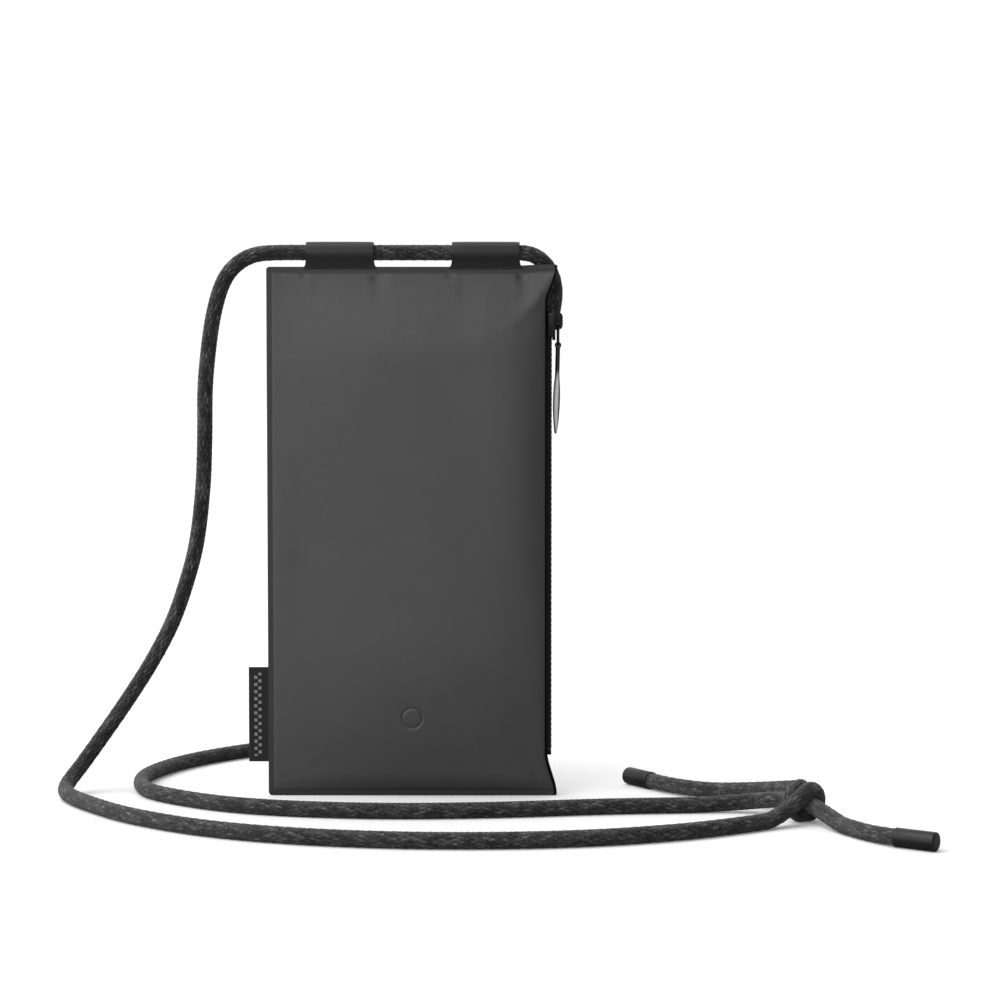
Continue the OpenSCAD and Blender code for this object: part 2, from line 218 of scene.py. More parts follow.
# -------- cords
# One cord, in two lengths that meet inside the right loop. The points are part.scad's.
LEFT_LEAD = [
    (JOIN_X, 0, CORD_Z), (0, 0, CORD_Z), (-30, 0, CORD_Z), (-46, 0, CORD_Z), (-55, 0, 196),
    (-62, 0, 191.5), (-66, 0, 185), (-69, 1, 175), (-71, 2, 163), (-72.5, 3, 148), (-73, 5, 130),
    (-74, 7, 112), (-76.5, 8, 92), (-80.5, 9, 77), (-86, 10, 62), (-94, 11, 47), (-103, 11, 33),
    (-112, 10, 20), (-119, 6, 10), (-123, -3, 4), (-120, -16, FLOOR_Z), (-109, -35, FLOOR_Z),
    (-91, -58, FLOOR_Z), (-64, -80, FLOOR_Z), (-33, -94, FLOOR_Z), (0, -101, FLOOR_Z),
    (33, -102, FLOOR_Z), (65, -97.5, FLOOR_Z), (92, -88, FLOOR_Z), (111, -77.5, FLOOR_Z),
    (126, -67, 3)]
LEFT_TAIL = [
    (132, -37, 8.5), (122, -22, 5.5), (110, -10, 3.5), (99, 0, TIP_Z), (91.5, 10, TIP_Z),
    (85, 20, TIP_Z)]
RIGHT_ROUTE = [
    (JOIN_X, 0, CORD_Z), (39, 0, CORD_Z), (46, 1, 196.5), (51.5, 4, 192.5), (54.5, 8, 185),
    (53.5, 13, 174.5), (49, 18, 162), (42.5, 25, 138), (36, 33, 110), (29, 44, 82), (20, 56, 54),
    (10, 69, 29), (-1, 82, 11), (-12, 91, 4), (-26, 97, FLOOR_Z), (-43, 98, FLOOR_Z),
    (-61, 91, FLOOR_Z), (-79, 72, FLOOR_Z), (-92, 49, FLOOR_Z), (-98.5, 22, FLOOR_Z),
    (-94, -4, FLOOR_Z), (-79, -22, FLOOR_Z), (-58, -36.5, FLOOR_Z), (-32, -45, FLOOR_Z),
    (0, -48.5, FLOOR_Z), (35, -46, FLOOR_Z), (70, -40, FLOOR_Z), (100, -37, FLOOR_Z),
    (117, -36, 3.5), (129, -42, 5.5), (138, -52, 7), (144, -63, 5), (149.5, -76, FLOOR_Z),
    (155.5, -88, FLOOR_Z), (163, -98.5, TIP_Z), (171.5, -104.5, TIP_Z)]
KNOT_AT = np.array([138, -52, 6.8])
KNOT_AXIS = math.radians(-56)               # heading of the right length through the knot
KNOT_TURN_R = 4.9


def knot_turns():
    """The left length's turns round the right one, which leave along it at the end."""
    along = np.array([math.cos(KNOT_AXIS), math.sin(KNOT_AXIS), 0])
    across = np.array([-along[1], along[0], 0])
    up = np.array([0, 0, 1])
    made = []
    for turn in range(35, 486, 25):
        angle = math.radians(turn)
        offset = 5.5 - 0.016 * (turn - 35) - 1.5 * (max(turn - 450, 0) / 40) ** 2
        made.append(KNOT_AT + along * offset
                    + KNOT_TURN_R * (up * math.sin(angle) - across * math.cos(angle)))
    return made


def curve_through(route, per_span=24):
    """A smooth line through a route's points."""
    p = np.array([tuple(q) for q in route], float)
    made = []
    for k in range(len(p) - 1):
        p0, p1, p2, p3 = p[max(k - 1, 0)], p[k], p[k + 1], p[min(k + 2, len(p) - 1)]
        for t in np.arange(per_span) / per_span:
            made.append(0.5 * (2 * p1 + (p2 - p0) * t + (2 * p0 - 5 * p1 + 4 * p2 - p3) * t ** 2
                               + (3 * p1 - p0 - 3 * p2 + p3) * t ** 3))
    made.append(p[-1])
    return np.array(made)


def even_steps(line, step):
    """The same line with its points the same distance apart."""
    run = np.concatenate([[0], np.cumsum(np.linalg.norm(np.diff(line, axis=0), axis=1))])
    wanted = np.linspace(0, run[-1], max(2, round(run[-1] / step) + 1))
    return np.stack([np.interp(wanted, run, line[:, k]) for k in range(3)], -1), wanted


def relaxed(line, passes):
    """Rounds off small kinks, with the ends held."""
    line = line.copy()
    for _ in range(passes):
        line[1:-1] = (line[:-2] + 2 * line[1:-1] + line[2:]) / 4
    return line


def line_frames(line):
    """Heading and two sideways directions at each point, which turn as little as possible."""
    heading = np.gradient(line, axis=0)
    heading /= np.linalg.norm(heading, axis=1)[:, None]
    side = np.zeros_like(line)
    last = np.array([0.0, 1.0, 0.0])
    for k, h in enumerate(heading):
        last = last - h * (last @ h)
        last /= np.linalg.norm(last)
        side[k] = last
    return heading, side, np.cross(heading, side)


CARRIERS = 12                               # strands of the braid in each direction
BRAID_LAY = 4.0                             # a strand moves on by one over this length
CORD_SIDES = 48
CORD_STEP = 0.5
RELIEF = 0.42                               # depth of the valleys between strands


def braided_cord(name, line, seed):
    """A tube whose surface is a plain braid of two sets of strands, with heathered yarn."""
    line, run = even_steps(relaxed(even_steps(line, CORD_STEP)[0], 30), CORD_STEP)
    line[:, 2] = np.maximum(line[:, 2], FLOOR_Z)
    heading, side, up = line_frames(line)
    rows = len(line)
    turn = np.arange(CORD_SIDES) / CORD_SIDES
    a = CARRIERS * turn[None, :] + (run / BRAID_LAY)[:, None]
    b = CARRIERS * turn[None, :] - (run / BRAID_LAY)[:, None]
    i, j = np.floor(a), np.floor(b)
    round_a = np.sqrt(np.maximum(0, 1 - (2 * (a - i) - 1) ** 2))
    round_b = np.sqrt(np.maximum(0, 1 - (2 * (b - j) - 1) ** 2))
    sign_i, sign_j = 1 - 2 * (i % 2), 1 - 2 * (j % 2)
    high_a = 0.6 * round_a + 0.4 * sign_i * np.sin(math.pi * b)
    high_b = 0.6 * round_b - 0.4 * sign_j * np.sin(math.pi * a)
    over = high_a > high_b
    height = np.where(over, high_a, high_b)
    radius = CORD_D / 2 - RELIEF * (1 - height) + 0.12
    angle = 2 * math.pi * turn
    out = (side[:, None, :] * np.cos(angle)[None, :, None]
           + up[:, None, :] * np.sin(angle)[None, :, None])
    points = line[:, None, :] + out * radius[:, :, None]
    points[:, :, 2] = np.maximum(points[:, :, 2], 0.02)
    flat = points.reshape(-1, 3)
    faces = grid_quads(rows, CORD_SIDES, wrap=True)
    ends = [list(range(CORD_SIDES))[::-1], [(rows - 1) * CORD_SIDES + k for k in range(CORD_SIDES)]]
    piece = new_object(name, flat, faces + ends)

    # shade of each yarn, from a fixed random table by strand and place along it
    table = np.random.default_rng(seed).random((64, 64))
    strand = np.where(over, i % CARRIERS, CARRIERS + j % CARRIERS).astype(int) % 64
    place = np.floor(np.where(over, b, a) / 2).astype(int) % 64
    shade = table[strand, place]
    store(piece, "yarn", shade.reshape(-1))
    store(piece, "over", over.reshape(-1))
    store(piece, "height", height.reshape(-1))

    # the braid's own coordinates at each face corner, so that they run on past the seam
    uv = piece.data.uv_layers.new(name="braid")
    r = np.repeat(np.arange(rows - 1), CORD_SIDES)
    c = np.tile(np.arange(CORD_SIDES), rows - 1)
    corner_r = np.stack([r, r, r + 1, r + 1], -1)
    corner_c = np.stack([c, c + 1, c + 1, c], -1)
    t = CARRIERS * corner_c / CORD_SIDES
    s = run[corner_r] / BRAID_LAY
    coords = np.zeros((len(piece.data.loops), 2))
    coords[:r.size * 4] = np.stack([t + s, t - s], -1).reshape(-1, 2)
    uv.data.foreach_set("uv", coords.reshape(-1))
    return piece, line


def store(piece, name, values):
    """Keeps one number for each vertex, for the material to read."""
    layer = piece.data.attributes.new(name, "FLOAT", "POINT")
    layer.data.foreach_set("value", np.asarray(values, np.float32))


def turned(name, profile, at, heading, sides=48):
    """A lathe-turned piece: profile is (radius, length along) pairs from one end to the other."""
    z = Vector(heading).normalized()
    matrix = z.to_track_quat("Z", "Y").to_matrix()
    turn = 2 * math.pi * np.arange(sides) / sides
    points = np.array([[(r * math.cos(a), r * math.sin(a), h) for a in turn] for r, h in profile])
    flat = points.reshape(-1, 3) @ np.array(matrix).T + np.array(at)
    faces = grid_quads(len(profile), sides, wrap=True)
    return new_object(name, flat, faces)


def cord_tip(name, route):
    """A metal cap: a rolled mouth, a plain barrel and a slightly domed end."""
    low, high = box_mm(name)
    last = np.array(route[-1], float)
    heading = last - np.array(route[-2], float)
    heading /= np.linalg.norm(heading)
    grip, length, radius, wall = 10.0, 14.5, 3.2, 0.25
    start = last - heading * grip
    mouth = [(radius - wall, 2.0), (radius - wall, 0.25), (radius - 0.18, 0.02),
             (radius - 0.05, 0.0), (radius + 0.02, 0.12), (radius + 0.02, 0.7),
             (radius - 0.06, 0.95), (radius - 0.06, 1.1)]
    barrel = [(radius, 1.25), (radius, length / 2), (radius, length - 0.75)]
    edge = [(radius - 0.6 + 0.6 * math.cos(q), length - 0.7 + 0.6 * math.sin(q))
            for q in np.linspace(0.2, math.pi / 2, 6)]
    end = [(radius - 1.2, length - 0.06), (radius - 2.2, length), (0.35, length), (0.0, length)]
    tip = turned(name + "_cap", mouth + barrel + edge + end, start, heading)
    weld(tip)
    return tip


def weld(piece, distance=0.0005):
    """Joins vertices that lie on each other."""
    with edited(piece.data) as work:
        bmesh.ops.remove_doubles(work, verts=work.verts, dist=distance * MM)
        bmesh.ops.recalc_face_normals(work, faces=work.faces)


def make_cords():
    left_route = LEFT_LEAD + [tuple(p) for p in knot_turns()] + LEFT_TAIL
    left, left_line = braided_cord("braided_cord_left", curve_through(left_route), seed=11)
    right, right_line = braided_cord("braided_cord_right", curve_through(RIGHT_ROUTE), seed=12)
    left_tip = cord_tip("cord_tip_left", LEFT_TAIL)
    right_tip = cord_tip("cord_tip_right", RIGHT_ROUTE)
    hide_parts("neck_cord_left", "cord_knot")
    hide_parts("neck_cord_right")
    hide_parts("cord_tip_left")
    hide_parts("cord_tip_right")
    return [left, right], [left_tip, right_tip]


cords, tips = make_cords()


# -------- shape of the pouch
def arc(v):
    """A rise from 0 to 1 that is steepest at its start and levels off at its end."""
    return 1 - (1 - np.clip(v, 0, 1)) ** 2


def swell_z(x, z):
    """How far the panel has swollen at a height: quickly off the bottom seam, then slowly.

    The top swells faster near the zip's corner.
    """
    up = z - LIP_W
    low = FOOT_SHARE * arc(up / FOOT_H) + (1 - FOOT_SHARE) * arc(up / RAMP_BOTTOM)
    ramp_top = 32 - 12 * smooth_step((x - 18) / 30)
    return low * arc((POUCH_H - up - 2 * LIP_W) / ramp_top)


def open_z(z):
    return smooth_step(z / FLARE_BOTTOM) * smooth_step((POUCH_H - z) / FLARE_TOP)


def lip_x(z):
    return RIGHT_X - ROLL_IN * open_z(z)


def lip_y(z):
    return SEAM_T + (LIP_GAP - SEAM_T) * open_z(z)


def depth(x, z):
    return SEAM_T + (HALF_T - SEAM_T) * arc((x - LEFT_X - LIP_W) / RAMP_LEFT) * swell_z(x, z)


def layer(us, zs, d):
    """A grid of points on the layer at depth d under the leather's face, on the back half.

    u runs from 0 at the left seam to 1 where the roll starts, and on to 2 at the zip.
    """
    u, z = np.meshgrid(us, zs)
    x_roll = lip_x(z) - ROLL_W
    flat = np.minimum(u, 1)
    x = LEFT_X + (x_roll - LEFT_X) * flat
    y = depth(x, z) - d
    angle = np.clip(u - 1, 0, 1) * math.pi / 2
    low = lip_y(z) - d * (1 - open_z(z))
    rolled = u > 1
    x = np.where(rolled, x_roll + (ROLL_W - d * open_z(z)) * np.sin(angle), x)
    y = np.where(rolled, low + (depth(x_roll, z) - d - low) * np.cos(angle), y)
    return np.stack([x, y, z], -1)


def mirrored(grid, front):
    return grid * np.array([1, -1 if front else 1, 1])


def crowd(start, stop, count, strength=0.7):
    """Steps that crowd towards both ends."""
    v = np.linspace(0, 1, count + 1)
    return start + (stop - start) * (v - strength * np.sin(2 * math.pi * v) / (2 * math.pi))


MARK_AT = (2.7, 29.0)                       # centre of the plain debossed ring, X and Z
MARK_R = 3.6


def with_fine(values, centre, reach, step):
    """Adds close steps round one place to a list of steps."""
    fine = np.arange(centre - reach, centre + reach, step)
    keep = values[np.abs(values - centre) > reach + step]
    return np.sort(np.concatenate([keep, fine]))


def leather_surface(us, zs, front):
    """The leather's outer face, with its pressed border, creases and soft waves."""
    grid = layer(us, zs, 0.0)
    x, y, z = grid[..., 0], grid[..., 1].copy(), grid[..., 2].copy()
    u = np.broadcast_to(us, x.shape)
    from_left, from_low, from_top = x - LEFT_X, z, POUCH_H - z
    edge = np.minimum(np.minimum(from_left, from_low), from_top)
    # the border is pressed flat, with a crease on its inner side
    y -= 0.22 * (1 - smooth_step((edge - LIP_W + 0.3) / 0.5))
    y -= 0.16 * bump(edge - LIP_W - 0.1, 0.3)
    # slow waves of the hide over the foam, fading at the edges
    inside = smooth_step((edge - 2.5) / 10) * (1 - smooth_step((u - 1.3) / 0.5))
    y += inside * (0.42 * np.sin(x / 13 + 0.7) * np.sin(z / 31 + 0.4)
                   + 0.2 * np.sin((x + 0.6 * z) / 17 + 1.9)
                   - 1.0 * bump(x + 37, 11) * bump(z - 88, 34))
    # small pulls in the top edge beside each loop
    for name in LOOPS:
        low, high = box_mm(name)
        for side, dent in ((low[0] - 0.6, 0.5), (high[0] + 0.6, 1.0)):
            y -= dent * bump(x - side, 1.1) * bump(from_top - 2.2, 2.2) * (u < 1.6)
        y -= 0.8 * bump(x - high[0] - 1.5, 3.0) * np.exp(-np.maximum(from_top - LIP_W, 0) / 6) \
            * (u < 1.6) * smooth_step((edge - LIP_W + 0.5) / 1.5)
        y -= 0.25 * smooth_step((x - low[0] - 1) / 3) * smooth_step((high[0] - 1 - x) / 3) \
            * bump(from_top - 6, 6)
    # beside the zip, a ridge runs down from the top corner and a fold runs up from the bottom one
    ridge = RIGHT_X + 1.5 - 0.8 * from_top
    y += 0.75 * bump(x - ridge, 4.0) * smooth_step(from_top / 5) \
        * (1 - smooth_step((from_top - 10) / 16))
    fold = RIGHT_X - 2.5 - 0.62 * z
    y -= 0.45 * bump(x - fold, 2.0) * smooth_step(z / 6) * (1 - smooth_step((z - 9) / 14))
    # the top border is pinched between the right loop and the corner
    y -= 0.35 * bump(from_top - LIP_W - 0.3, 0.5) * smooth_step((x - 36) / 6)
    if front:
        r = np.hypot(x - MARK_AT[0], z - MARK_AT[1])
        y -= 0.32 * bump(r - MARK_R, 0.42)
    # the top edge is drawn up by the loops, and lifts a little towards the zip's corner
    z += 0.4 * smooth_step(1 - from_top / 8)
    z += 0.8 * smooth_step((x - 30) / 22) * smooth_step(1 - from_top / 14)
    out = np.stack([x, np.maximum(y, lip_floor(z)), z], -1)
    return round_corners(out), edge


def lip_floor(z):
    """The leather's face never sinks under the seam."""
    return np.full_like(z, LEATHER_T + 0.1)


CORNERS = ((0, 0, 1.5), (0, 1, 1.2), (1, 0, 1.0), (1, 1, 0.8))


def round_corners(grid):
    """Rounds the four outer corners of a panel: each corner's square becomes a quarter disc."""
    out = grid.copy()
    for right, top, r in CORNERS:
        cx = RIGHT_X - r if right else LEFT_X + r
        top_z = grid[-1, -1 if right else 0, 2]
        cz = top_z - r if top else r
        dx = (grid[..., 0] - cx) * (1 if right else -1)
        dz = (grid[..., 2] - cz) * (1 if top else -1)
        inside = (dx > 0) & (dz > 0)
        size = np.maximum(np.hypot(dx, dz), 1e-9)
        scale = np.where(inside, np.maximum(dx, dz) / size, 1.0)
        out[..., 0] = np.where(inside, cx + (grid[..., 0] - cx) * scale, out[..., 0])
        out[..., 2] = np.where(inside, cz + (grid[..., 2] - cz) * scale, out[..., 2])
    return out


def make_panel(name, node, front):
    flat_w = EDGE_X - ROLL_W - LEFT_X
    xs = np.concatenate([np.arange(0, 4, 0.25), np.arange(4, 12, 0.7), np.arange(12, flat_w, 1.3)])
    zs = np.concatenate([np.arange(0, 4, 0.25), np.arange(4, 24, 0.8), np.arange(24, 164, 1.6),
                         np.arange(164, POUCH_H - 4, 0.8), np.arange(POUCH_H - 4, POUCH_H, 0.25),
                         [POUCH_H]])
    if front:
        xs = with_fine(xs, MARK_AT[0] - LEFT_X, MARK_R + 1.4, 0.22)
        zs = with_fine(zs, MARK_AT[1], MARK_R + 1.4, 0.22)
    us = np.concatenate([xs / flat_w, 1 + np.linspace(0, 1, 34)])
    outer, edge = leather_surface(us, zs, front)
    inner = round_corners(layer(us, zs, LEATHER_T))
    inner[..., 2] = outer[..., 2]
    inner[..., 0] = np.where(np.broadcast_to(us, edge.shape) < 1, outer[..., 0], inner[..., 0])
    piece = thick_sheet(name, mirrored(outer, front), mirrored(inner, front), bevel=0.22)
    fix_normals(piece)
    points = np.empty(len(piece.data.vertices) * 3)
    piece.data.vertices.foreach_get("co", points)
    x, y, z = points.reshape(-1, 3).T / MM
    # how dark each place is: most at the cut edge beside the zip, partly the edge's own colour and
    # partly painted shade where the leather meets the zip tape; some in the pressed border
    cut = smooth_step((x - lip_x(z) + 1.2) / 0.3) * (np.abs(y) < lip_y(z) + 2.2)
    from_edge = np.minimum(np.minimum(x - LEFT_X, z), POUCH_H - z)
    border = 1 - smooth_step((from_edge - LIP_W + 0.2) / 0.4)
    store(piece, "edge_dye_and_shade", np.maximum(cut, 0.36 * border))
    return assign(piece, node, "pouch")


panels = [make_panel("front_leather", "front_panel", True),
          make_panel("back_leather", "back_panel", False)]


def make_inner_sheet(name, node, front, near, far):
    """A foam, lining or pocket sheet between two grids of points under the leather."""
    piece = thick_sheet(name, mirrored(near, front), mirrored(far, front), bevel=0.08)
    fix_normals(piece)
    return assign(piece, node, "pouch")


FOAM_D = LEATHER_T + LAYER_GAP
LINING_D = FOAM_D + FOAM_T + LAYER_GAP
POCKET_D = LINING_D + LINING_T + LAYER_GAP


def lining_layer(us, zs, extra):
    """The lining lies on the leather at the seams and on the foam elsewhere."""
    u, z = np.meshgrid(us, zs)
    share = smooth_step(u / 0.2) * smooth_step((z - 8) / 12) * smooth_step((POUCH_H - 12 - z) / 16)
    low = layer(us, zs, LEATHER_T + extra)
    high = layer(us, zs, LINING_D + extra)
    return low + (high - low) * share[..., None]


def make_inside():
    made = {"foam": [], "lining": []}
    for side, front in (("front", True), ("back", False)):
        us, zs = np.linspace(0.24, 1.45, 40), np.linspace(22, POUCH_H - 30, 70)
        foam = make_inner_sheet(side + "_foam", side + "_padding", front, layer(us, zs, FOAM_D),
                                layer(us, zs, FOAM_D + FOAM_T))
        made["foam"].append(foam)
        us = np.concatenate([np.linspace(0, 1, 50)[:-1], np.linspace(1, 1.45, 14)])
        zs = crowd(5, POUCH_H - 6, 90)
        lining = make_inner_sheet(side + "_microfibre", side + "_lining", front,
                                  lining_layer(us, zs, 0), lining_layer(us, zs, LINING_T))
        made["lining"].append(lining)
    us, zs = np.linspace(0.24, 0.98, 50), np.linspace(24, 112, 60)
    pocket = make_inner_sheet("card_pocket_cloth", "card_pocket", False,
                              layer(us, zs, POCKET_D), layer(us, zs, POCKET_D + 0.6))
    made["lining"].append(pocket)
    return made


inside = make_inside()


# -------- cord loops
def make_loop(node):
    """A leather strap round the cord, with its ends pressed together in the top seam."""
    low, high = box_mm(node)
    middle, half_w = (low[0] + high[0]) / 2, (high[0] - low[0]) / 2
    thick = 1.0
    radius = CORD_D / 2 + 0.1 + thick / 2
    swing = 38                              # degrees below level where the strap leaves the cord
    angles = np.radians(np.linspace(180 + swing, -swing, 40))
    ring = [(radius * math.cos(a), CORD_Z + radius * math.sin(a)) for a in angles]
    foot_y, foot_z = SEAM_T - thick / 2 - 0.1, POUCH_H - 0.4
    legs = []
    for side in (-1, 1):
        top_y, top_z = ring[0] if side < 0 else ring[-1]
        knee_y, knee_z = side * (foot_y + 0.15), POUCH_H + 0.9
        t = np.linspace(0, 1, 9)[:, None]
        first = np.array([[side * foot_y, foot_z]])
        knee = np.array([[knee_y, knee_z]])
        last = np.array([[top_y, top_z]])
        legs.append(((1 - t) ** 2 * first + 2 * t * (1 - t) * knee + t ** 2 * last)[:-1])
    path = np.concatenate([legs[0], ring, legs[1][::-1]])
    along = np.gradient(path, axis=0)
    along /= np.linalg.norm(along, axis=1)[:, None]
    normal = np.stack([-along[:, 1], along[:, 0]], -1)
    across = crowd(-1, 1, 30, 0.85)
    # the strap's sides spread a little where they run into the panel
    above = np.maximum(path[:, 1] - POUCH_H, 0)
    widths = half_w + 1.1 * np.exp(-above / 0.9)
    bulge = 0.10 * (1 - np.abs(across) ** 6)

    def face(sign):
        grid = np.zeros((len(path), len(across), 3))
        grid[..., 0] = middle + widths[:, None] * across[None, :]
        push = (sign * thick / 2 + max(sign, 0) * bulge)[None, :]
        grid[..., 1] = path[:, 0][:, None] + normal[:, 0][:, None] * push
        grid[..., 2] = path[:, 1][:, None] + normal[:, 1][:, None] * push
        return grid

    piece = thick_sheet(node + "_leather", face(1), face(-1), bevel=0.25)
    fix_normals(piece)
    assign(piece, node, "pouch")
    return piece


loops = [make_loop(node) for node in LOOPS]


# -------- side tag
def make_tag():
    """A folded woven ribbon that leaves the left seam."""
    low, high = box_mm("side_tag")
    ply, tuck = 0.4, 2.0
    fold_r = 0.45
    outer_x = low[0] + fold_r
    xs = np.linspace(LEFT_X + tuck, outer_x, 26)
    front = [(x, -fold_r + ply / 2) for x in xs]
    fold = [(outer_x - (fold_r - ply / 2) * math.sin(a), -(fold_r - ply / 2) * math.cos(a))
            for a in np.linspace(0, math.pi, 9)[1:-1]]
    back = [(x, fold_r - ply / 2) for x in xs[::-1]]
    path = np.array(front + fold + back)
    along = np.gradient(path, axis=0)
    along /= np.linalg.norm(along, axis=1)[:, None]
    normal = np.stack([along[:, 1], -along[:, 0]], -1)
    zs = np.linspace(low[2], high[2], 90)

    def face(offset):
        grid = np.zeros((len(zs), len(path), 3))
        spot = path + normal * offset
        out = np.clip((LEFT_X - spot[:, 0]) / 7.2, 0, 1)
        wave = 0.12 * np.sin(zs / 6.0)[:, None] * out[None, :] ** 2
        grid[..., 0] = spot[:, 0][None, :]
        grid[..., 1] = spot[:, 1][None, :] + wave
        grid[..., 2] = zs[:, None]
        return grid

    piece = thick_sheet("woven_tag", face(-ply / 2), face(ply / 2), bevel=0.06)
    fix_normals(piece)
    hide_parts("side_tag")
    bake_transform(piece)
    return piece


tag = make_tag()


# -------- zip
TAPE_D = LEATHER_T + 0.05
TAPE_T = 0.5
TAPE_X = EDGE_X - TAPE_D
CHAIN_X = float(box_mm("zip_teeth_front")[1][0])
CHAIN_LOW = float(box_mm("zip_teeth_front")[0][2])
CHAIN_HIGH = float(box_mm("zip_teeth_front")[1][2])
COIL_PITCH = 1.0
COIL_WIRE = 0.42


def make_tape(side, front):
    """One woven tape: it lines the roll, then runs in under the coil to the middle."""
    zs = np.linspace(7, POUCH_H - 6, 150)

    def face(d):
        grid = layer(np.linspace(1.5, 2, 20), zs, d)
        x = lip_x(zs) - d
        cols = [np.stack([x, lip_y(zs) * (1 - k) + 0.3 * k, zs], -1) for k in (0.35, 0.7, 1.0)]
        return mirrored(np.concatenate([grid, np.stack(cols, 1)], 1), front)

    piece = thick_sheet(f"zip_tape_{side}_cloth", face(TAPE_D), face(TAPE_D + TAPE_T), bevel=0.06)
    fix_normals(piece)
    assign(piece, "zip_tape_" + side, "pouch")
    return piece


def swept_tube(name, line, radius, sides=8, closed=False):
    """A round tube along a line of points."""
    line = np.asarray(line, float)
    if closed:
        heading = np.roll(line, -1, 0) - np.roll(line, 1, 0)
        heading /= np.linalg.norm(heading, axis=1)[:, None]
        flat = np.cross(heading, np.cross(heading[0], heading[len(line) // 4]))
        side = flat / np.linalg.norm(flat, axis=1)[:, None]
        up = np.cross(heading, side)
    else:
        heading, side, up = line_frames(line)
    turn = 2 * math.pi * np.arange(sides) / sides
    points = (line[:, None, :] + radius * (side[:, None, :] * np.cos(turn)[None, :, None]
                                           + up[:, None, :] * np.sin(turn)[None, :, None]))
    rows = len(line)
    faces = grid_quads(rows, sides, wrap=True)
    if closed:
        last = (rows - 1) * sides
        faces += [[last + k, last + (k + 1) % sides, (k + 1) % sides, k] for k in range(sides)]
    else:
        faces += [list(range(sides))[::-1], [(rows - 1) * sides + k for k in range(sides)]]
    made = new_object(name, points.reshape(-1, 3), faces)
    fix_normals(made)
    return made


def make_coil(side, front):
    """One row of the zip: a nylon coil sewn to the tape, its loops meeting the other row's."""
    sign = -1 if front else 1
    turns = int((CHAIN_HIGH - CHAIN_LOW) / COIL_PITCH)
    per_turn = 16
    k = np.arange(turns * per_turn + 1)
    angle = 2 * math.pi * k / per_turn
    x_mid, x_half = (TAPE_X + CHAIN_X) / 2, (CHAIN_X - TAPE_X) / 2 - COIL_WIRE
    # the loop is a rounded box, with its head just past the middle
    shape_x = np.sign(np.sin(angle)) * np.abs(np.sin(angle)) ** 0.6
    shape_y = np.sign(np.cos(angle)) * np.abs(np.cos(angle)) ** 0.7
    y = 1.3 + 1.45 * shape_y
    shift = 0.0 if front else COIL_PITCH / 2
    line = np.stack([x_mid + x_half * shape_x, sign * y,
                     CHAIN_LOW + shift + COIL_PITCH * k / per_turn], -1)
    line = line[line[:, 2] < CHAIN_HIGH]
    piece = swept_tube(f"zip_coil_{side}", line, COIL_WIRE, sides=8)
    return assign(piece, "zip_teeth_" + side, "pouch")


def make_sewing(side, front):
    """Thread that holds the coil to its tape: short stitches over each loop of the coil."""
    sign = -1 if front else 1
    count = int((CHAIN_HIGH - CHAIN_LOW - 1) / (2 * COIL_PITCH))
    stitches = []
    for row_y in (1.15, 2.0):
        for k in range(count):
            z0 = CHAIN_LOW + 0.4 + 2 * COIL_PITCH * k
            z = np.linspace(z0, z0 + 1.8 * COIL_PITCH, 7)
            arch = np.sin(math.pi * (z - z0) / (1.8 * COIL_PITCH))
            line = np.stack([np.full(7, CHAIN_X - 0.12) + 0.1 * arch,
                             np.full(7, sign * row_y), z], -1)
            stitches.append(swept_tube("stitch", line, 0.13, sides=6))
    piece = joined(f"zip_sewing_{side}", stitches)
    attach(piece, "pouch")
    return piece


def joined(name, parts):
    """Several objects as one, whose solids stay separate."""
    work = bmesh.new()
    for part in parts:
        work.from_mesh(part.data)
        mesh = part.data
        bpy.data.objects.remove(part)
        bpy.data.meshes.remove(mesh)
    mesh = bpy.data.meshes.new(name)
    work.to_mesh(mesh)
    work.free()
    mesh.polygons.foreach_set("use_smooth", [True] * len(mesh.polygons))
    return linked(name, mesh)


def rounded_copy(name, node, body, width_mm, segments=3):
    """A CAD node's own shape with its sharp edges rounded."""
    mesh = frame["nodes"][node].data.copy()
    piece = linked(name, mesh)
    with edited(mesh) as work:
        bmesh.ops.remove_doubles(work, verts=work.verts, dist=0.002 * MM)
        bmesh.ops.dissolve_limit(work, angle_limit=math.radians(2), verts=work.verts,
                                 edges=work.edges)
    add_bevel(piece, width_mm, segments, angle=35)
    piece.data.polygons.foreach_set("use_smooth", [True] * len(piece.data.polygons))
    piece.data.materials.clear()
    return assign(piece, node, body)


LINK_JOINT = next(j for j in frame["joints"] if j["name"] == "link_swing")
PULL_JOINT = next(j for j in frame["joints"] if j["name"] == "pull_swing")
LINK_X, LINK_Z = LINK_JOINT["pos_m"][0] / MM, LINK_JOINT["pos_m"][2] / MM
EYE_X, EYE_Z = PULL_JOINT["pos_m"][0] / MM, PULL_JOINT["pos_m"][2] / MM
PIN_R = 0.5


def make_link():
    """A closed wire stirrup: its top bar turns in the slider, its bottom bar carries the pull."""
    half_y, corner = 1.9, 0.7
    outline = []
    for cy, cz, start in ((half_y - corner, LINK_Z - corner, 0),
                          (-half_y + corner, LINK_Z - corner, 90),
                          (-half_y + corner, EYE_Z + corner, 180),
                          (half_y - corner, EYE_Z + corner, 270)):
        for a in np.radians(np.linspace(start, start + 90, 8)):
            z = cz + corner * math.sin(a)
            lean = (LINK_Z - z) / (LINK_Z - EYE_Z)
            outline.append((LINK_X + (EYE_X - LINK_X) * lean, cy + corner * math.cos(a), z))
    dense = even_steps(np.array(outline + [outline[0]]), 0.35)[0][:-1]
    piece = swept_tube("pull_link_wire", dense, PIN_R, sides=14, closed=True)
    return assign(piece, "pull_link", "link")


PULL_W, PULL_L, BLADE_TOP = 4.4, 32.0, 9.0
PULL_TURN, PULL_LEAN = math.radians(58), math.radians(1.5)


